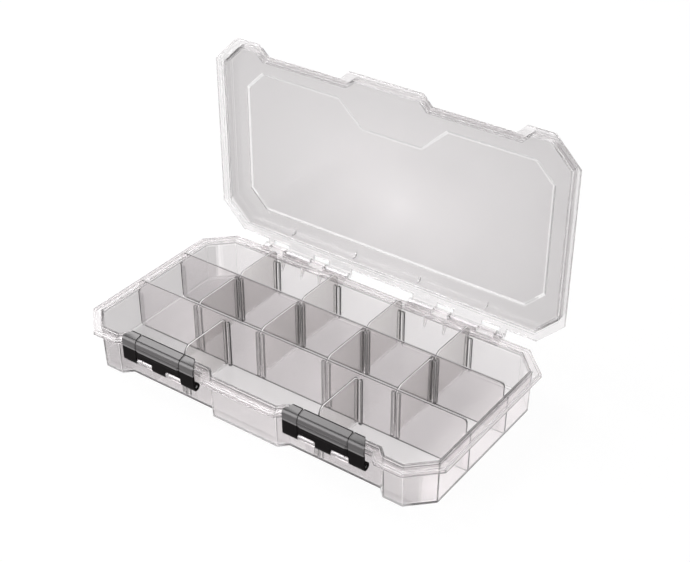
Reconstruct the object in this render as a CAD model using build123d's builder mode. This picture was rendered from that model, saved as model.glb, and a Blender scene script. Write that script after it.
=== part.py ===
from build123d import *
import os
from math import sqrt

os.makedirs("parts", exist_ok=True)

# Compartment box: a tray with moulded rows, ten lift-out dividers, a hinged lid and two latches.
# The origin is the middle of the tray's underside. X runs along the box, +Y to the hinge, +Z up.
# Sizes are in millimetres.

# Tray rim and walls
rim_length = 276.8
rim_depth = 147.6
rim_chamfer = 18.5
rim_overhang = 5.3
rim_top = 32.2
rim_thick = 2.0
rim_skirt = 3.5
rim_edge = 1.6
rim_step_wide = 1.4
rim_step_drop = 0.6
bead_high = 0.8
bead_wide = 2.2
wall = 1.9
floor = 2.0
outside_draft = 1.5
inside_draft = 0.4
bottom_bevel = 1.6
floor_bevel = 1.2

# Rows, moulded long dividers and lift-out cross dividers
long_thick = 1.6
long_top = 39.6
long_end_gap = 1.8
long_corner = 3.0
cross_pitch_share = 0.19
cross_thick = 1.2
cross_play = 0.45
cross_drop = 0.2
cross_lift = 0.3
cross_corner = 5.5
cross_foot = 1.8
slot_play = 0.25
slot_rib_wide = 2.2
slot_rib_deep = 1.8
slot_rib_root = 0.6
slot_below_long = 3.1
slot_below_rim = 3.7

# Latch recesses in the front wall, placed as shares of the rim's length
recess_deep = 5.5
recess_centre_share = 0.233
recess_half_share = 0.12

# Lid
lid_seat = 0.3
lid_flange = 2.0
lid_plate = 1.8
lid_wall = 1.8
lid_headroom = 0.7
lid_draft = 3.0
lid_bevel = 1.6
lid_notch_extra = 1.5
bead_play = 0.4
lid_open_angle = 90.0
panel_rise = 1.0
panel_slope_wide = 1.6
panel_wall = 0.7
panel_side = 13.7
panel_back = 11.35
panel_front = 18.75
panel_chamfer = 14.0
bay_half_outer = 41.5
bay_half_inner = 22.6
bay_depth = 17.4
keeper_leg = 4.0
keeper_thick = 1.2
level_reach = 0.01

# Hinge: lid and tray knuckles alternate on one pin on each side of the middle
hinge_behind_rim = 4.05
hinge_below_rim = 2.5
hinge_pin_radius = 1.15
pin_play = 0.05
knuckle_gap = 0.5
tray_knuckle_shares = [(0.1625, 0.2065), (0.2875, 0.334)]
hinge_start_share = 0.0918
hinge_end_share = 0.3522
pin_recess = 0.4
heel_gap = 0.3
stop_deep = 5.7
stop_thick = 2.2
hinge_gusset_thick = 1.2
hinge_gusset_drop = 12.4
hinge_gusset_shares = [0.1575, 0.2117, 0.2724]
arm_root = 1.0
arm_bulge = (2.1, 2.66)

# Latches, half open with an upright front, measured from their pivot: inwards, then up
latch_width = 59.4
latch_hook_width = 52.5
latch_pivot_out = 7.75
latch_pivot_height = 22.2
latch_boss = 2.8
latch_pin_radius = 1.0
latch_plate = 2.0
latch_front = 3.0
crown_start = 12.2
crown_shoulder = (-2.5, 14.9)
crown_turn = (-1.1, 16.6)
hook_top = (4.0, 18.1)
hook_under_gap = 0.3
hook_grip = 1.7
hook_inner_round = 1.5
hook_root = 0.13
hook_corner = 3.2
cut_clear = 2.0
latch_closed_lean = 9.5
window_inner = 5.5
window_outer = 18.8
window_top = 3.4
window_play = 0.35
latch_barrel = 2.6
bracket_thick = 3.6
bracket_gusset = 1.4
bracket_foot = 13.0
groove_at = 18.2
groove_wide = 0.8
groove_deep = 0.45
relief_high = 5.1
relief_slope = 2.4
relief_thick = 0.45
relief_root = 0.05
relief_taper = 35.0

# Places worked out from the sizes above
half_length = rim_length / 2 - rim_overhang
half_depth = rim_depth / 2 - rim_overhang
wall_chamfer = rim_chamfer - rim_overhang * (2 - sqrt(2))
inner_back = half_depth - wall
recess_face = recess_deep - half_depth
row_gap = (inner_back - recess_face - wall - 2 * long_thick) / 3
row_pitch = row_gap + long_thick
long_places = [inner_back - row_gap - long_thick / 2 - row * row_pitch for row in range(2)]
recess_centre = recess_centre_share * rim_length
recess_half = recess_half_share * rim_length
cross_pitch = cross_pitch_share * rim_length
tray_knuckles = [(low * rim_length, high * rim_length) for low, high in tray_knuckle_shares]
hinge_start = hinge_start_share * rim_length
hinge_end = hinge_end_share * rim_length
lid_bottom = rim_top + lid_seat
lid_ceiling = long_top + lid_headroom
lid_top = lid_ceiling + lid_plate
hinge_y = rim_depth / 2 + hinge_behind_rim
hinge_z = rim_top - hinge_below_rim
knuckle_radius = hinge_below_rim + lid_seat
pivot_y = recess_face - latch_pivot_out
pivot_z = latch_pivot_height
back_crosses = [cross_pitch * step for step in (-1.5, -0.5, 0.5, 1.5)]
front_crosses = [cross_pitch * step for step in (-1, 1)]
hinge_line = Axis((0, hinge_y, hinge_z), (1, 0, 0))


def box_plan(grow, notch_extra=0.0):
    """Plan of the wall's outer face, with its chamfered corners and two latch recesses, grown all round."""
    face = recess_face + notch_extra
    step = face + half_depth
    with BuildSketch() as plan:
        with BuildLine():
            Polyline(
                (0, half_depth),
                (half_length - wall_chamfer, half_depth),
                (half_length, half_depth - wall_chamfer),
                (half_length, wall_chamfer - half_depth),
                (half_length - wall_chamfer, -half_depth),
                (recess_centre + recess_half + step - notch_extra, -half_depth),
                (recess_centre + recess_half - notch_extra, face),
                (recess_centre - recess_half + notch_extra, face),
                (recess_centre - recess_half - step + notch_extra, -half_depth),
                (0, -half_depth),
            )
            mirror(about=Plane.YZ)
        make_face()
        if grow:
            offset(amount=grow, kind=Kind.INTERSECTION, mode=Mode.REPLACE)
    return plan.sketch


def panel_plan(grow):
    """Plan of the lid's raised panel, with a bay at the front middle."""
    side = half_length - panel_side
    back = half_depth - panel_back
    front = panel_front - half_depth
    with BuildSketch() as plan:
        with BuildLine():
            Polyline(
                (0, back),
                (side - panel_chamfer, back),
                (side, back - panel_chamfer),
                (side, front + panel_chamfer),
                (side - panel_chamfer, front),
                (bay_half_outer, front),
                (bay_half_inner, front + bay_depth),
                (0, front + bay_depth),
            )
            mirror(about=Plane.YZ)
        make_face()
        if grow:
            offset(amount=grow, kind=Kind.INTERSECTION, mode=Mode.REPLACE)
    return plan.sketch


wall_plan = box_plan(0)
inner_plan = box_plan(-wall)
rim_plan = box_plan(rim_overhang)


def slot_ribs(places, face, side):
    """Two ribs for each cross divider, standing from a face towards side, +1 or -1 along Y."""
    deep = slot_rib_deep + slot_rib_root
    reach = cross_thick / 2 + slot_play + slot_rib_wide / 2
    middle = face + side * (slot_rib_deep - deep / 2)
    for x in places:
        with Locations((x - reach, middle), (x + reach, middle)):
            Rectangle(slot_rib_wide, deep)


def hinge_profile(arm_low, arm_high, arm_start):
    """Barrel on the hinge line with the arm that carries it."""
    with Locations((hinge_y, hinge_z)):
        Circle(knuckle_radius)
    with Locations(((arm_start + hinge_y) / 2, (arm_low + arm_high) / 2)):
        Rectangle(hinge_y - arm_start, arm_high - arm_low)


# Base tray
with BuildPart() as base_tray:
    with BuildSketch(Plane.XY.offset(rim_top)):
        add(wall_plan)
    extrude(amount=-rim_top, taper=outside_draft)
    chamfer(base_tray.edges().group_by(Axis.Z)[0], bottom_bevel)

    # Rim: a flat flange with a turned-down edge, following the recesses
    with BuildSketch(Plane.XY.offset(rim_top)):
        add(rim_plan)
    extrude(amount=-rim_skirt)
    with BuildSketch(Plane.XY.offset(rim_top)):
        add(rim_plan)
        add(box_plan(rim_overhang - rim_step_wide), mode=Mode.SUBTRACT)
    extrude(amount=-rim_step_drop, mode=Mode.SUBTRACT)
    with BuildSketch(Plane.XY.offset(rim_top - rim_skirt)):
        add(box_plan(rim_overhang - rim_edge))
        add(wall_plan, mode=Mode.SUBTRACT)
    extrude(amount=rim_skirt - rim_thick, mode=Mode.SUBTRACT)

    # Sealing bead round the mouth, then the inside in one cut
    with BuildSketch(Plane.XY.offset(rim_top)):
        add(box_plan(bead_wide - wall))
    extrude(amount=bead_high)
    with BuildSketch(Plane.XY.offset(rim_top + bead_high)):
        add(inner_plan)
    extrude(amount=floor - rim_top - bead_high, taper=inside_draft, mode=Mode.SUBTRACT)
    floor_edges = base_tray.edges().filter_by_position(Axis.Z, floor - level_reach, floor + level_reach)
    chamfer(floor_edges, floor_bevel)

    # Long dividers: full width below the rim, round-cornered ends above it
    for y in long_places:
        with BuildSketch(Plane.XZ.offset(-y)) as long_profile:
            with Locations((0, (floor + long_top) / 2)):
                Rectangle(2 * (half_length - wall - long_end_gap), long_top - floor)
            fillet(long_profile.vertices().group_by(Axis.Y)[-1], long_corner)
            with Locations((0, (floor + rim_top - rim_thick) / 2)):
                Rectangle(2 * half_length - wall, rim_top - rim_thick - floor)
        extrude(amount=long_thick / 2, both=True)

    # Slots for the cross dividers
    with BuildSketch(Plane.XY.offset(floor)):
        slot_ribs(back_crosses, long_places[0] + long_thick / 2, 1)
        slot_ribs(back_crosses, long_places[0] - long_thick / 2, -1)
        slot_ribs(back_crosses, long_places[1] + long_thick / 2, 1)
        slot_ribs(front_crosses, long_places[1] - long_thick / 2, -1)
    extrude(amount=long_top - slot_below_long - floor)
    with BuildSketch(Plane.XY.offset(floor)):
        slot_ribs(back_crosses, inner_back, -1)
        slot_ribs(front_crosses, recess_face + wall, 1)
    extrude(amount=rim_top - slot_below_rim - floor)

    # Back edge of the rim, deeper where the lid's heels come to rest, with its gussets
    for side in (-1, 1):
        middle = side * (hinge_start + hinge_end) / 2
        with Locations((middle, rim_depth / 2 - stop_thick / 2, rim_top - stop_deep / 2)):
            Box(hinge_end - hinge_start, stop_thick, stop_deep)
        for share in hinge_gusset_shares:
            with BuildSketch(Plane.YZ.offset(side * share * rim_length)):
                with BuildLine():
                    Polyline(
                        (half_depth - wall / 2, rim_top - rim_thick / 2),
                        (rim_depth / 2 - stop_thick / 2, rim_top - rim_thick / 2),
                        (rim_depth / 2 - stop_thick / 2, rim_top - stop_deep),
                        (half_depth - wall / 2, rim_top - hinge_gusset_drop),
                        close=True,
                    )
                make_face()
            extrude(amount=hinge_gusset_thick / 2, both=True)

    # Hinge knuckles of the tray
    for side in (-1, 1):
        for low, high in tray_knuckles:
            with BuildSketch(Plane.YZ.offset(side * (low + high) / 2)):
                hinge_profile(hinge_z - knuckle_radius, rim_top, rim_depth / 2 - stop_thick / 2)
            extrude(amount=(high - low) / 2, both=True)
        with BuildSketch(Plane.YZ.offset(side * hinge_start)):
            with Locations((hinge_y, hinge_z)):
                Circle(hinge_pin_radius + pin_play)
        extrude(amount=side * (hinge_end - hinge_start), mode=Mode.SUBTRACT)

    # Latch knuckles, each on a bracket with two gussets that run down the recess
    for centre in (-recess_centre, recess_centre):
        for side in (-1, 1):
            middle = centre + side * (window_inner + window_outer) / 2
            knuckle_half = (window_outer - window_inner) / 2 - window_play
            with BuildSketch(Plane.YZ.offset(middle)):
                with Locations((pivot_y, pivot_z)):
                    Circle(latch_barrel)
                root = recess_face + wall / 2
                with Locations(((pivot_y + root) / 2, pivot_z + latch_barrel - bracket_thick / 2)):
                    Rectangle(root - pivot_y, bracket_thick)
            extrude(amount=knuckle_half, both=True)
            for edge in (-1, 1):
                with BuildSketch(Plane.YZ.offset(middle + edge * (knuckle_half - bracket_gusset))):
                    with BuildLine():
                        Polyline(
                            (root, pivot_z),
                            (pivot_y + latch_pin_radius, pivot_z),
                            (pivot_y + latch_pin_radius, pivot_z - latch_pin_radius),
                            (root, bracket_foot),
                            close=True,
                        )
                    make_face()
                extrude(amount=bracket_gusset / 2, both=True)
        with BuildSketch(Plane.YZ.offset(centre)):
            with Locations((pivot_y, pivot_z)):
                Circle(latch_pin_radius + pin_play)
        extrude(amount=latch_width / 2, both=True, mode=Mode.SUBTRACT)

# Lid, drawn shut and then swung open
with BuildPart() as shut_lid:
    with BuildSketch(Plane.XY.offset(lid_bottom)):
        add(box_plan(bead_wide - wall))
    extrude(amount=lid_top - lid_bottom, taper=lid_draft)
    chamfer(shut_lid.edges().group_by(Axis.Z)[-1], lid_bevel)
    with BuildSketch(Plane.XY.offset(lid_bottom)):
        add(box_plan(rim_overhang, lid_notch_extra))
    extrude(amount=lid_flange)
    with BuildSketch(Plane.XY.offset(lid_top)):
        add(panel_plan(0))
    with BuildSketch(Plane.XY.offset(lid_top + panel_rise)):
        add(panel_plan(-panel_slope_wide))
    loft(ruled=True)

    # Underside: the channel over the tray's bead, the hollow and the panel's own step
    with BuildSketch(Plane.XY.offset(lid_bottom)):
        add(box_plan(bead_wide - wall + bead_play))
    extrude(amount=bead_high + bead_play - lid_seat, mode=Mode.SUBTRACT)
    with BuildSketch(Plane.XY.offset(lid_bottom)):
        add(box_plan(bead_wide - wall - lid_wall))
    extrude(amount=lid_ceiling - lid_bottom, taper=lid_draft, mode=Mode.SUBTRACT)
    with BuildSketch(Plane.XY.offset(lid_ceiling)):
        add(panel_plan(-panel_wall))
    with BuildSketch(Plane.XY.offset(lid_ceiling + panel_rise)):
        add(panel_plan(-panel_wall - panel_slope_wide))
    loft(ruled=True, mode=Mode.SUBTRACT)

    # Keepers in the back corner of the hollow, one over each cross divider of the back row
    keeper_back = half_depth + bead_wide - wall - lid_wall
    for x in back_crosses:
        with BuildSketch(Plane.YZ.offset(x)):
            with BuildLine():
                Polyline(
                    (keeper_back + lid_wall / 2, lid_ceiling + lid_plate / 2),
                    (keeper_back - keeper_leg, lid_ceiling + lid_plate / 2),
                    (keeper_back - keeper_leg, lid_ceiling),
                    (keeper_back, lid_ceiling - keeper_leg),
                    (keeper_back + lid_wall / 2, lid_ceiling - keeper_leg),
                    close=True,
                )
            make_face()
        extrude(amount=keeper_thick / 2, both=True)

    # Hinge knuckles of the lid, each with a heel that stops the lid upright
    edges = [hinge_start] + [x for pair in tray_knuckles for x in pair] + [hinge_end]
    for side in (-1, 1):
        for low, high in zip(edges[0::2], edges[1::2]):
            start = low if low == hinge_start else low + knuckle_gap
            end = high if high == hinge_end else high - knuckle_gap
            with BuildSketch(Plane.YZ.offset(side * (start + end) / 2)):
                with Locations((hinge_y, hinge_z)):
                    Circle(knuckle_radius)
                with BuildLine():
                    root = rim_depth / 2 - arm_root
                    l1 = Line((root, lid_bottom), (root, lid_bottom + lid_flange))
                    l2 = Line(l1 @ 1, (hinge_y - arm_root, lid_bottom + lid_flange))
                    bulge = (hinge_y + arm_bulge[0], hinge_z + arm_bulge[1])
                    l3 = ThreePointArc(l2 @ 1, bulge, (hinge_y + knuckle_radius, hinge_z))
                    l4 = Line(l3 @ 1, (hinge_y, hinge_z))
                    l5 = Line(l4 @ 1, (hinge_y, lid_bottom))
                    Line(l5 @ 1, l1 @ 0)
                make_face()
                with BuildLine():
                    heel = hinge_behind_rim - heel_gap
                    Polyline(
                        (hinge_y, hinge_z),
                        (hinge_y, hinge_z - heel),
                        (hinge_y + knuckle_radius, hinge_z - heel),
                        (hinge_y + knuckle_radius, hinge_z),
                        close=True,
                    )
                make_face()
            extrude(amount=(end - start) / 2, both=True)
        with BuildSketch(Plane.YZ.offset(side * hinge_start)):
            with Locations((hinge_y, hinge_z)):
                Circle(hinge_pin_radius + pin_play)
        extrude(amount=side * (hinge_end - hinge_start), mode=Mode.SUBTRACT)

with BuildPart() as lid:
    add(shut_lid.part.rotate(hinge_line, -lid_open_angle))

base_tray.part.label = "base_tray"
export_step(base_tray.part, "parts/base_tray.step")
lid.part.label = "lid"
export_step(lid.part, "parts/lid.step")


def turned(u, w, angle):
    """A point given from the latch pivot, u inwards and w up, leaned outwards by angle degrees."""
    point = Vector(0, u, w).rotate(Axis.X, angle)
    return (point.Y, point.Z)


# The hook's underside is level when the latch is shut, just above the lid's flange
hook_level = lid_bottom + lid_flange + hook_under_gap - pivot_z
hook_reach = recess_face - rim_overhang + lid_notch_extra + hook_grip - pivot_y
hook_tip = turned(hook_reach, hook_level, latch_closed_lean)
hook_corner_low = turned(hook_root, hook_level, latch_closed_lean)


def latch_outline():
    """Side view of the latch from its pivot: boss, front plate, crown and hook."""
    with BuildSketch() as side:
        with BuildLine():
            front = Line((-latch_front, 0), (-latch_front, crown_start))
            crown = ThreePointArc(front @ 1, crown_shoulder, crown_turn)
            top = Line(crown @ 1, hook_top)
            back = Line(top @ 1, hook_tip)
            under = Line(back @ 1, hook_corner_low)
            inner = Line(under @ 1, (latch_plate - latch_front, 0))
            Line(inner @ 1, front @ 0)
        make_face()
        fillet(side.vertices().sort_by_distance(hook_corner_low)[0], hook_inner_round)
        Circle(latch_boss)
    return side.sketch


# Latches, in the half-open rest
for name, centre in (("left", -recess_centre), ("right", recess_centre)):
    with BuildPart() as latch:
        side_view = latch_outline()
        with BuildSketch(Plane((centre, pivot_y, pivot_z), x_dir=(0, 1, 0), z_dir=(1, 0, 0))):
            add(side_view)
        extrude(amount=latch_width / 2, both=True)

        # Two windows for the tray's knuckles
        for side in (-1, 1):
            middle = centre + side * (window_inner + window_outer) / 2
            with Locations((middle, pivot_y, pivot_z + window_top - latch_boss * 2)):
                Box(window_outer - window_inner, latch_boss * 4, latch_boss * 4, mode=Mode.SUBTRACT)

        # The hook is narrower than the front plate
        with BuildSketch(Plane.XY.offset(pivot_z + crown_start / 2)):
            for side in (-1, 1):
                with BuildLine():
                    Polyline(
                        (centre + side * (latch_width / 2 + cut_clear), pivot_y - latch_front / 2),
                        (centre + side * latch_width / 2, pivot_y - latch_front / 2),
                        (centre + side * latch_hook_width / 2, pivot_y + hook_corner),
                        (centre + side * latch_hook_width / 2, pivot_y + hook_tip[0] + cut_clear),
                        (centre + side * (latch_width / 2 + cut_clear), pivot_y + hook_tip[0] + cut_clear),
                        close=True,
                    )
                make_face()
        extrude(amount=hook_top[1], mode=Mode.SUBTRACT)

        # Grooves over the crown and down the front, in line with the windows
        for side in (-1, 1):
            groove_x = centre + side * groove_at
            with BuildSketch(Plane((groove_x, pivot_y, pivot_z), x_dir=(0, 1, 0), z_dir=(1, 0, 0))):
                add(side_view)
                offset(side_view, amount=-groove_deep, kind=Kind.INTERSECTION, mode=Mode.SUBTRACT)
                with Locations((latch_width / 2 - latch_front + groove_deep, 0)):
                    Rectangle(latch_width, 2 * hook_tip[1] + 2 * groove_deep, mode=Mode.SUBTRACT)
            extrude(amount=groove_wide / 2, both=True, mode=Mode.SUBTRACT)

        # Raised panel below the crown
        with BuildSketch(Plane.XZ.offset(latch_front - pivot_y - relief_root)):
            with Locations((centre, pivot_z + crown_start - relief_high)):
                Polygon(
                    (-groove_at, relief_high),
                    (groove_at, relief_high),
                    (groove_at - relief_slope, 0),
                    (relief_slope - groove_at, 0),
                    align=None,
                )
        extrude(amount=relief_thick + relief_root, taper=relief_taper)

        # Bore for the pin
        with BuildSketch(Plane.YZ.offset(centre)):
            with Locations((pivot_y, pivot_z)):
                Circle(latch_pin_radius + pin_play)
        extrude(amount=latch_width / 2, both=True, mode=Mode.SUBTRACT)

    latch.part.label = f"latch_{name}"
    export_step(latch.part, f"parts/latch_{name}.step")

    with BuildPart() as latch_pin:
        with BuildSketch(Plane.YZ.offset(centre)):
            with Locations((pivot_y, pivot_z)):
                Circle(latch_pin_radius)
        extrude(amount=latch_width / 2 - pin_recess, both=True)
    latch_pin.part.label = f"latch_pin_{name}"
    export_step(latch_pin.part, f"parts/latch_pin_{name}.step")

# Hinge pins
for name, side in (("left", -1), ("right", 1)):
    with BuildPart() as hinge_pin:
        with BuildSketch(Plane.YZ.offset(side * (hinge_start + hinge_end) / 2)):
            with Locations((hinge_y, hinge_z)):
                Circle(hinge_pin_radius)
        extrude(amount=(hinge_end - hinge_start) / 2 - pin_recess, both=True)
    hinge_pin.part.label = f"hinge_pin_{name}"
    export_step(hinge_pin.part, f"parts/hinge_pin_{name}.step")

# Lift-out cross dividers, all alike
cross_length = row_gap - 2 * cross_play
cross_low = floor + cross_lift
cross_high = long_top - cross_drop
row_middles = [inner_back - row_gap / 2 - row * row_pitch for row in range(3)]
rows = (("back", row_middles[0], back_crosses),
        ("middle", row_middles[1], back_crosses),
        ("front", row_middles[2], front_crosses))
for row, middle, places in rows:
    for number, x in enumerate(places, start=1):
        with BuildPart() as divider:
            with BuildSketch(Plane.YZ.offset(x)) as outline:
                with Locations((middle, (cross_low + cross_high) / 2)):
                    Rectangle(cross_length, cross_high - cross_low)
                fillet(outline.vertices().group_by(Axis.Y)[-1], cross_corner)
                chamfer(outline.vertices().group_by(Axis.Y)[0], cross_foot)
            extrude(amount=cross_thick / 2, both=True)
        divider.part.label = f"divider_{row}_{number}"
        export_step(divider.part, f"parts/divider_{row}_{number}.step")
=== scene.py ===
from math import radians

import bmesh
import bpy
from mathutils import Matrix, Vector


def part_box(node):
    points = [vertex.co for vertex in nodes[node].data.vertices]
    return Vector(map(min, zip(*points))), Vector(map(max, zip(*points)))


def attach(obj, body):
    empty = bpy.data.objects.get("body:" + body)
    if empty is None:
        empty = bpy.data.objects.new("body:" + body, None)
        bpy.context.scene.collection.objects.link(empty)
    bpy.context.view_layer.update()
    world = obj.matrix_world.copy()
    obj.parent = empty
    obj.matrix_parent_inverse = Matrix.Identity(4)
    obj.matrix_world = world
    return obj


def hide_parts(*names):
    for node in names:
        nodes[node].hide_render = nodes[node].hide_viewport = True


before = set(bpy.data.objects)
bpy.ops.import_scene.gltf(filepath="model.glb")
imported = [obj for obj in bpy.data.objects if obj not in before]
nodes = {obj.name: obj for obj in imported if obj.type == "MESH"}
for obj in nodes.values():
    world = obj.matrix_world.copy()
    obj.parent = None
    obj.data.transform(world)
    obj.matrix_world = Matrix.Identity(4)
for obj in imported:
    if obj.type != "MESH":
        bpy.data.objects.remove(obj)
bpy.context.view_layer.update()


# Places that the finishes follow, in metres


def slot_of(divider):
    """How far a lift-out divider's slots are to the right of the box's middle."""
    low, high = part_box(divider)
    return (low.x + high.x) / 2


tray_low, tray_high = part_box("base_tray")
lid_low, lid_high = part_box("lid")
latch_low, latch_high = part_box("latch_left")
front_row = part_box("divider_front_1")
middle_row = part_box("divider_middle_1")
back_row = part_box("divider_back_1")

# The rows of lift-out dividers, and the long dividers between them
row_pitch = middle_row[0].y - front_row[0].y
front_long = (front_row[1].y + middle_row[0].y) / 2
back_long = (middle_row[1].y + back_row[0].y) / 2
long_reach = 0.0015

# The slot ribs, across from the middle of a slot and along from the end of a divider
inner_slot = slot_of("divider_middle_3")
outer_slot = slot_of("divider_middle_4")
front_slot = slot_of("divider_front_2")
rib_far_side = 0.0032
glint_start = 0.0012
glint_end = 0.0020
slot_reach = 0.00165
slot_play = 0.00035
back_wall_play = 0.00065

# The tray's floor, walls and rim
floor_bevel_top = 0.0032
rib_foot = 0.0030
rim_foot = 0.0285
rim_sides = tray_high.x - 0.0084
rim_back = -tray_low.y - 0.0083
wall_sides = tray_high.x - 0.0114
wall_ends = -tray_low.y - 0.0138
corner_walls = 0.1827
front_middle = 0.0430

# The other pieces
divider_shoulder = front_row[1].z - 0.0094
panel_low_part = 0.0600
crown_foot = latch_high.z - 0.0091
knuckle_gaps = (0.0447, 0.0574, 0.0793, 0.0927)


# Shader maths


class Value:
    """A number or colour in a node tree, with the usual operators."""

    def __init__(self, tree, socket):
        self.tree = tree
        self.socket = socket

    def maths(self, operation, other=0.0, flip=False):
        inputs = (other, self) if flip else (self, other)
        made = self.tree.node("ShaderNodeMath", {"operation": operation}, {0: inputs[0], 1: inputs[1]})
        return made["Value"]

    def __add__(self, other):
        return self.maths("ADD", other)

    def __radd__(self, other):
        return self.maths("ADD", other, True)

    def __sub__(self, other):
        return self.maths("SUBTRACT", other)

    def __rsub__(self, other):
        return self.maths("SUBTRACT", other, True)

    def __mul__(self, other):
        return self.maths("MULTIPLY", other)

    def __rmul__(self, other):
        return self.maths("MULTIPLY", other, True)

    def __gt__(self, other):
        return self.maths("GREATER_THAN", other)

    def __lt__(self, other):
        return self.maths("LESS_THAN", other)

    def __abs__(self):
        return self.maths("ABSOLUTE")


class Outputs:
    """The outputs of one node by name, each as a Value."""

    def __init__(self, tree, shader_node):
        self.tree = tree
        self.shader_node = shader_node

    def __getitem__(self, name):
        return Value(self.tree, self.shader_node.outputs[name])


class Tree:
    """A node tree, in which one method adds every node."""

    def __init__(self, owner):
        owner.use_nodes = True
        self.nodes = owner.node_tree.nodes
        self.links = owner.node_tree.links
        self.nodes.clear()

    def node(self, kind, settings=None, inputs=None):
        made = self.nodes.new(kind)
        for name, setting in (settings or {}).items():
            setattr(made, name, setting)
        for name, given in (inputs or {}).items():
            if isinstance(given, Value):
                self.links.new(given.socket, made.inputs[name])
            else:
                made.inputs[name].default_value = given
        return Outputs(self, made)

    def place(self):
        """The place on the object, which the finishes follow."""
        return self.node("ShaderNodeTexCoord")["Object"]

    def principled(self, inputs):
        shader = self.node("ShaderNodeBsdfPrincipled", {}, inputs)["BSDF"]
        self.node("ShaderNodeOutputMaterial", {}, {"Surface": shader})


def blend(share, low, high):
    """The colour low where share is 0 and high where it is 1."""
    inputs = {"Factor": share, "A": low, "B": high}
    return share.tree.node("ShaderNodeMix", {"data_type": "RGBA"}, inputs)["Result"]


def between(number, low, high):
    return (number > low) * (number < high)


def ramp(number, start, end):
    """0 at start and 1 at end, whichever of them is higher."""
    inputs = {"Value": number, "From Min": start, "From Max": end}
    return number.tree.node("ShaderNodeMapRange", {}, inputs)["Result"]


def axes(place):
    parts = place.tree.node("ShaderNodeSeparateXYZ", {}, {"Vector": place})
    return parts["X"], parts["Y"], parts["Z"]


def mapped(place, shift, scale):
    inputs = {"Vector": place, "Location": shift, "Scale": scale}
    return place.tree.node("ShaderNodeMapping", {}, inputs)["Vector"]


def noise(place, scale, detail):
    inputs = {"Vector": place, "Scale": scale, "Detail": detail}
    return place.tree.node("ShaderNodeTexNoise", {}, inputs)["Fac"]


def bump(height, strength, distance):
    inputs = {"Height": height, "Strength": strength, "Distance": distance}
    return height.tree.node("ShaderNodeBump", {}, inputs)["Normal"]


def grey(level):
    return (level, level * 0.973, level * 0.98, 1)


def warm_grey(level):
    return (level, level * 0.98, level * 0.968, 1)


def material(name, solid_colour):
    made = bpy.data.materials.new(name)
    made.diffuse_color = solid_colour
    return made, Tree(made)


# Clear plastic


def clear_plastic(name, tint, haze, cover=None):
    """Clear moulded plastic with a tint by place, and with an alpha by place where a cover is given."""
    made, tree = material(name, (0.9, 0.9, 0.9, 0.3))
    place = tree.place()
    tree.principled({
        "Base Color": tint(place),
        "Roughness": haze,
        "IOR": 1.4,
        "Alpha": cover(place) if cover else 1.0,
        "Transmission Weight": 0.93,
        "Normal": bump(noise(place, scale=22.0, detail=1.0), strength=0.08, distance=0.002),
    })
    return made


def painted_highlight_edge(name, level, clear, shade=None):
    """The rounded edge of a clear moulding, a pale line of painted highlight, which a painted shade makes
    dark in places.
    """
    made, tree = material(name, (0.95, 0.95, 0.95, 0.6))
    place = tree.place()
    colour = blend(noise(place, scale=35.0, detail=2.0), grey(level * 0.9), grey(level))
    if shade:
        colour = blend(shade(place), colour, grey(0.03))
    tree.principled({
        "Base Color": colour,
        "Roughness": 0.12,
        "IOR": 1.4,
        "Transmission Weight": clear,
    })
    return made


def soft_patches(place):
    return noise(place, scale=30.0, detail=1.0)


# The tray's finish


def row_ends(y, row, past_back=slot_play):
    """The strips at the two ends of a row's lift-out dividers, where the slot ribs stand."""
    front, back = row[0].y, row[1].y
    front_strip = between(y, front - slot_play, front + slot_reach)
    back_strip = between(y, back - slot_reach, back + past_back)
    return front_strip + back_strip


def slot_ribs(side, y, start, end):
    """The slot ribs, from one distance to another from the middle of their slot."""
    inner, outer, front = [
        between(abs(side - slot), start, end) for slot in (inner_slot, outer_slot, front_slot)]
    rear_rows = row_ends(y, back_row, back_wall_play) + row_ends(y, middle_row)
    return (inner + outer) * rear_rows + front * row_ends(y, front_row) > 0.5


def long_dividers(y, start, end):
    """The long dividers, from one distance to another from their middle."""
    return sum(between(y, middle + start, middle + end) for middle in (front_long, back_long))


def past_walls(side, y, sides, back, front):
    return (side > sides) + (y > back) + (y < front)


def floor_tint(x, y):
    """The floor, with painted shade in the left bays of the outer rows and painted light towards the right
    wall.
    """
    outer_rows = 1.0 - between(y, front_long + 0.0003, back_long - 0.0003)
    left_bays = (x < -outer_slot - 0.0011) * outer_rows
    right_bays = ramp(x, outer_slot + 0.016, outer_slot + 0.043)
    off_front_wall = ramp(y, tray_low.y + 0.0118, tray_low.y + 0.0288)
    colour = blend(left_bays, grey(0.77), grey(0.63))
    return blend(right_bays * off_front_wall, colour, grey(0.97))


def tray_tint(place):
    """The long dividers, walls, slot ribs, rim and floor, each at its own grey, with painted light and
    shade.
    """
    x, y, z = axes(place)
    side = abs(x)
    below_rim = z < rim_foot
    # Painted shade makes the left wall darker and painted light makes the right wall paler.
    painted_side_shade = blend(x > 0.0, grey(0.68), grey(0.99))
    front_wall = blend(side > front_middle, grey(0.86), grey(0.78))
    ribs = slot_ribs(side, y, 0.0, rib_far_side) * (z > rib_foot)
    glints = slot_ribs(side, y, glint_start, glint_end)
    rim = past_walls(side, y, rim_sides, rim_back, -wall_ends) * (z > rim_foot)
    colour = blend(long_dividers(y, -long_reach, long_reach) > 0.5, grey(0.96), grey(0.87))
    colour = blend((side > wall_sides) * below_rim, colour, painted_side_shade)
    colour = blend((y > wall_ends) * below_rim, colour, grey(0.85))
    colour = blend((y < -wall_ends) * below_rim, colour, front_wall)
    # Painted shade makes the slot ribs dark, with painted glints as pale lines along them.
    colour = blend(ribs, colour, blend(glints, warm_grey(0.17), warm_grey(0.95)))
    # Painted light makes the rim near white.
    colour = blend(rim > 0.5, colour, grey(0.95))
    return blend(z < floor_bevel_top, colour, floor_tint(x, y))


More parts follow.
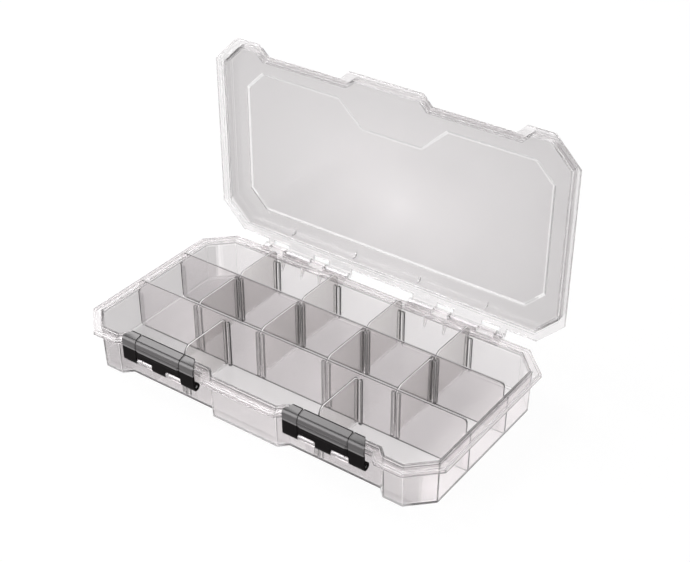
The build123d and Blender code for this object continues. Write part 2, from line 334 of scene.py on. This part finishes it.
def tray_cover(place):
    """The rim and the foot of the walls gather light and look thinner than the rest."""
    x, y, z = axes(place)
    side = abs(x)
    corner = side + abs(y) > corner_walls
    walls = past_walls(side, y, rim_sides + 0.0003, rim_back + 0.0005, -wall_ends - 0.0005)
    foot = (walls + corner > 0.5) * ramp(z, floor_bevel_top, floor_bevel_top - 0.0018)
    rim = past_walls(side, y, rim_sides, rim_back, -wall_ends)
    rim = (rim + corner > 0.5) * (z > rim_foot)
    return 1.0 - foot * 0.35 - rim * 0.14


# Painted shade: a thin dark line along the front strip of each long divider's top.
def near_side_of_long_tops(place):
    """The front strip of each long divider's top, which the photograph shows as a thin dark line."""
    return long_dividers(axes(place)[1], -0.0010, -0.0002)


def rim_side_tint(place):
    """The outer side of the rim, with a grey line of painted shadow along its lower edge."""
    return blend(axes(place)[2] < rim_foot + 0.0014, grey(0.97), grey(0.30))


def bottom_edge_tint(place):
    return blend(soft_patches(place), grey(0.86), grey(0.94))


def bottom_edge_cover(place):
    return 0.64 + soft_patches(place) * 0.1


# The lift-out dividers' finish


def divider_tint(place):
    """Pale at a lift-out divider's front end and darker towards its back end, in each of the rows."""
    patches = soft_patches(place)
    rows = (axes(place)[1] - (front_row[0].y - slot_play)) * (1 / row_pitch)
    front_end = blend(patches, warm_grey(0.84), warm_grey(0.88))
    back_end = blend(patches, warm_grey(0.66), warm_grey(0.70))
    return blend(rows.maths("FRACT"), front_end, back_end)


def divider_cover(place):
    """A lift-out divider's foot, made more see-through so that it shows as a thin pale line on the floor,
    a painted highlight.
    """
    foot = ramp(axes(place)[2], front_row[0].z + 0.0042, front_row[0].z + 0.0012)
    return 1.0 - foot * 0.85


def far_side_of_cross_tops(place):
    """The far strip of each lift-out divider's top, a thin dark line of painted shade beside the pale
    painted highlight.
    """
    x, _, z = axes(place)
    slots = [sign * slot for slot in (inner_slot, front_slot, outer_slot) for sign in (-1, 1)]
    strips = sum(between(x, slot - 0.00065, slot + 0.00005) for slot in slots)
    return strips * (z > divider_shoulder)


# The lid's finish


def lid_skirt(place):
    """The lid's rim and skirt, outside its plate."""
    x, y, z = axes(place)
    low_side = y < lid_low.y + 0.0094
    ends = abs(x) > lid_high.x - 0.0039
    top = z > lid_high.z - 0.00785
    return low_side + ends + top > 0.5


def lid_tint(place):
    """The plate, with a painted pool of light that makes it palest about its middle, and the pale skirt.
    """
    middle_x, middle_z = 0.0068, 0.0919
    reach_x, reach_z = 0.2273, 0.1613
    shift = (-middle_x / reach_x, 0, -middle_z / reach_z)
    centred = mapped(place, shift, (1 / reach_x, 0, 1 / reach_z))
    settings = {"gradient_type": "QUADRATIC_SPHERE"}
    painted_light_pool = place.tree.node("ShaderNodeTexGradient", settings, {"Vector": centred})["Fac"]
    return blend(lid_skirt(place), blend(painted_light_pool, grey(0.62), grey(0.85)), grey(0.86))


def lid_cover(place):
    """The lid's rim and skirt let more of the white room through than its plate."""
    return 1.0 - lid_skirt(place) * 0.45


def slope_tint(place):
    """The raised panel's outline, a pale painted highlight, which is darker at its low part."""
    pale = blend(soft_patches(place), grey(0.84), grey(0.90))
    return blend(axes(place)[2] < panel_low_part, pale, grey(0.58))


def slope_cover(place):
    """The raised panel's outline, a painted highlight which is palest along the top."""
    return 0.3 + (axes(place)[2] < panel_low_part) * 0.3


def side_cover(place):
    """The panel's upright outlines, a little fainter on the right."""
    return 0.62 - (axes(place)[0] > 0.0) * 0.10


# Black latches and steel pins


def black_plastic(name, body_coat, crown_coat):
    """Black moulded plastic, whose crown has a painted grey sheen with a paler painted highlight line
    along it.
    """
    made, tree = material(name, (0.02, 0.02, 0.02, 1))
    place = tree.place()
    _, y, z = axes(place)
    front = y < latch_low.y + 0.0066
    crown = ramp(z, crown_foot, crown_foot + 0.0007) * front
    crown_painted_sheen = ramp(z, crown_foot, crown_foot + 0.0005) * front
    crown_painted_sheen = crown_painted_sheen * ramp(z, crown_foot + 0.0073, crown_foot + 0.0053)
    crown_painted_highlight = between(z, crown_foot + 0.0002, crown_foot + 0.0013) * front
    # Painted sheen on the crown, and a painted highlight line along its foot.
    colour = blend(crown_painted_sheen, (0.005, 0.0042, 0.0044, 1), (0.055, 0.052, 0.053, 1))
    colour = blend(crown_painted_highlight, colour, (0.12, 0.115, 0.117, 1))
    tree.principled({
        "Base Color": colour,
        "Roughness": 0.42,
        "IOR": 1.5,
        "Specular IOR Level": 0.03,
        "Coat Weight": body_coat + crown * (crown_coat - body_coat),
        "Coat Roughness": 0.26,
        "Normal": bump(noise(place, scale=900.0, detail=2.0), strength=0.08, distance=0.0001),
    })
    return made


def drawn_steel(name):
    """Steel wire with fine lines along it, dark in the gaps beside the tray's knuckles."""
    made, tree = material(name, (0.6, 0.6, 0.6, 1))
    place = tree.place()
    side = abs(axes(place)[0])
    gaps = sum(between(side, gap - 0.0005, gap + 0.0005) for gap in knuckle_gaps)
    lines = noise(mapped(place, (0, 0, 0), (60, 2500, 2500)), scale=1.0, detail=2.0)
    tree.principled({
        "Base Color": blend(gaps > 0.5, (0.62, 0.62, 0.63, 1), (0.004, 0.004, 0.004, 1)),
        "Metallic": 1.0,
        "Roughness": 0.22 + lines * 0.2,
    })
    return made


# Faces that take a finish of their own


def panel_slope(face):
    """The slopes round the lid's raised panel."""
    return 0.75 < abs(face.normal.y) < 0.93 and face.calc_center_median().y > lid_high.y - 0.00285


def panel_side(face):
    """Those of the slopes that stand upright with the lid open."""
    return panel_slope(face) and abs(face.normal.z) < 0.1


def divider_outline(face):
    """The top of a lift-out divider and its rounded corners."""
    return abs(face.normal.x) < 0.3 and face.calc_center_median().z > divider_shoulder


def bottom_bevel(face):
    """The bevel under the tray's right and front walls and their corners."""
    outward = face.normal.x > 0.15 or face.normal.y < -0.15
    return outward and -0.95 < face.normal.z < -0.3 and face.calc_center_median().z < 0.0017


def rim_side(face):
    """The outer side of the rim's turned-down edge."""
    middle = face.calc_center_median()
    outward = face.normal.x * middle.x + face.normal.y * middle.y > 0
    heights = [corner.co.z - rim_foot for corner in face.verts]
    upright = outward and abs(face.normal.z) < 0.1
    return upright and min(heights) > 0.0003 and 0.0015 < max(heights) < 0.0031


def raised_panel_foot(face):
    """The lower slope of the panel on a latch's front."""
    height = face.calc_center_median().z - crown_foot
    return face.normal.z < -0.3 and face.normal.y < -0.3 and -0.0022 < height < 0.0048


def long_top(face):
    """The tops of the long dividers, which stand above the rim."""
    return face.normal.z > 0.5 and face.calc_center_median().z > tray_high.z - 0.0006


# Mouldings with rounded edges


def round_edges(radius, shortest):
    """Bevels the outward edges of the mesh in edit mode, apart from the shortest ones."""
    bpy.ops.mesh.select_mode(type="EDGE")
    bpy.ops.mesh.select_all(action="SELECT")
    bpy.ops.mesh.remove_doubles(threshold=1e-6)
    bpy.ops.mesh.dissolve_limited(angle_limit=radians(0.5))
    bpy.ops.mesh.select_all(action="DESELECT")
    mesh = bpy.context.object.data
    for edge in bmesh.from_edit_mesh(mesh).edges:
        outward = edge.is_convex and edge.calc_face_angle(0) > radians(25)
        edge.select = outward and edge.calc_length() > shortest
    bmesh.update_edit_mesh(mesh)
    bpy.ops.mesh.bevel(offset=radius, segments=2, clamp_overlap=False, material=1)


def moulding(node, body, radius, shortest, finishes, accents):
    """A copy of a CAD node with its outward edges rounded, which stands for the node.

    The first finish is for the faces and the second for the rounded edges. An accent
    is the number of a finish and the test of the faces that take it.
    """
    bpy.ops.object.select_all(action="DESELECT")
    nodes[node].select_set(True)
    bpy.context.view_layer.objects.active = nodes[node]
    bpy.ops.object.duplicate()
    piece = bpy.context.object
    piece.name = node + "_moulding"
    piece.data.materials.clear()
    for finish in finishes:
        piece.data.materials.append(finish)
    bpy.ops.object.mode_set(mode="EDIT")
    round_edges(radius, shortest)
    shape = bmesh.from_edit_mesh(piece.data)
    for face in shape.faces:
        big = face.calc_area() > 1e-4
        if big or face.material_index == 1:
            for edge in face.edges:
                edge.smooth = False
    for number, takes_it in accents:
        for face in shape.faces:
            if takes_it(face):
                face.material_index = number
    bmesh.update_edit_mesh(piece.data)
    bpy.ops.object.mode_set(mode="OBJECT")
    bpy.ops.object.shade_smooth_by_angle(angle=radians(20))
    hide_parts(node)
    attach(piece, body)


tray_finishes = (
    clear_plastic("clear_tray", tray_tint, haze=0.03, cover=tray_cover),
    painted_highlight_edge("clear_edge", level=0.95, clear=0.65),
    # Pale painted highlight on the long dividers' tops, with painted shade along their front.
    painted_highlight_edge("pale_top", level=0.66, clear=0.4, shade=near_side_of_long_tops),
    clear_plastic("clear_bottom_edge", bottom_edge_tint, haze=0.2, cover=bottom_edge_cover),
    clear_plastic("clear_rim_side", rim_side_tint, haze=0.05),
)
lid_finishes = (
    clear_plastic("clear_lid", lid_tint, haze=0.15, cover=lid_cover),
    painted_highlight_edge("lid_edge", level=0.97, clear=0.85),
    clear_plastic("clear_lid_slope", slope_tint, haze=0.15, cover=slope_cover),
    clear_plastic("clear_lid_side_slope", slope_tint, haze=0.15, cover=side_cover),
)
divider_finishes = (
    clear_plastic("clear_divider", divider_tint, haze=0.03, cover=divider_cover),
    painted_highlight_edge("divider_edge", level=0.98, clear=0.2, shade=far_side_of_cross_tops),
)
latch_finishes = (
    black_plastic("black_latch", body_coat=0.0, crown_coat=1.0),
    black_plastic("black_latch_edge", body_coat=0.1, crown_coat=0.0),
    black_plastic("black_latch_line", body_coat=0.6, crown_coat=0.6),
)
pin_steel = drawn_steel("pin_steel")

moulding("base_tray", "tray", radius=0.00025, shortest=0.0006,
         finishes=tray_finishes, accents=[(2, long_top), (3, bottom_bevel), (4, rim_side)])
moulding("lid", "lid", radius=0.00025, shortest=0.0006,
         finishes=lid_finishes, accents=[(2, panel_slope), (3, panel_side)])
for node in nodes:
    if "pin" in node:
        nodes[node].data.materials.clear()
        nodes[node].data.materials.append(pin_steel)
    elif node.startswith("divider"):
        moulding(node, node, radius=0.0002, shortest=0.0003,
                 finishes=divider_finishes, accents=[(1, divider_outline)])
    elif node.startswith("latch"):
        moulding(node, node, radius=0.0003, shortest=0.001,
                 finishes=latch_finishes, accents=[(2, raised_panel_foot)])


# Floor, light and camera


def white_floor():
    """A floor that is white to the eye and a plain pale grey to the lamps."""
    bpy.ops.object.select_all(action="DESELECT")
    bpy.ops.mesh.primitive_plane_add(size=12, location=(0, 0, -0.0002))
    bpy.ops.object.transform_apply(location=True, rotation=True, scale=True)
    floor = bpy.context.object
    floor.name = "floor"
    made, tree = material("white_floor", (1, 1, 1, 1))
    path = tree.node("ShaderNodeLightPath")
    seen = path["Is Camera Ray"] + path["Is Glossy Ray"] + path["Is Transmission Ray"]
    share = (seen > 0.5) * 0.95
    white = tree.node("ShaderNodeEmission", {}, {"Color": (1, 1, 1, 1), "Strength": 1.0})["Emission"]
    lit = tree.node("ShaderNodeBsdfDiffuse", {}, {"Color": (0.93, 0.93, 0.93, 1)})["BSDF"]
    mixed = tree.node("ShaderNodeMixShader", {}, {"Fac": share, 1: lit, 2: white})["Shader"]
    tree.node("ShaderNodeOutputMaterial", {}, {"Surface": mixed})
    floor.data.materials.append(made)


def white_world():
    """A room that is white to the eye and lights the box at about half of that."""
    world = bpy.data.worlds.new("studio")
    bpy.context.scene.world = world
    tree = Tree(world)
    path = tree.node("ShaderNodeLightPath")
    seen = path["Is Camera Ray"] + path["Is Glossy Ray"] + path["Is Transmission Ray"]
    inputs = {"Color": (1, 1, 1, 1), "Strength": 0.55 + (seen > 0.5) * 0.45}
    light = tree.node("ShaderNodeBackground", {}, inputs)["Background"]
    tree.node("ShaderNodeOutputWorld", {}, {"Surface": light})


def softbox(name, place, target, width, height, watts):
    light = bpy.data.lights.new(name, "AREA")
    light.shape = "RECTANGLE"
    light.size = width
    light.size_y = height
    light.energy = watts
    light.color = (1.0, 0.975, 0.98)
    lamp = bpy.data.objects.new(name, light)
    lamp.location = place
    lamp.rotation_euler = (Vector(target) - Vector(place)).to_track_quat("-Z", "Y").to_euler()
    bpy.context.scene.collection.objects.link(lamp)


def photo_camera(place, down, turn, lens):
    """The photograph's camera, with the angles by which it looks down and is turned, in degrees."""
    data = bpy.data.cameras.new("camera")
    data.sensor_width = 36.0
    data.lens = lens
    camera = bpy.data.objects.new("camera", data)
    camera.location = place
    camera.rotation_euler = (radians(90 - down), 0, radians(turn))
    bpy.context.scene.collection.objects.link(camera)
    bpy.context.scene.camera = camera


white_floor()
white_world()
softbox("overhead_back", place=(-0.70, 0.21, 1.12), target=(0, 0, 0.02), width=0.9, height=0.7, watts=12)
softbox("overhead_front", place=(-0.70, -0.30, 1.12), target=(0, 0, 0.02), width=0.9, height=0.5, watts=5)
softbox("front_left", place=(-0.62, -1.02, 0.38), target=(0, -0.07, 0.03), width=0.6, height=0.66, watts=9)
photo_camera(place=(0.439275, -0.570774, 0.544642), down=33.01, turn=35.78, lens=71.81)
bpy.context.scene.view_settings.view_transform = "Standard"
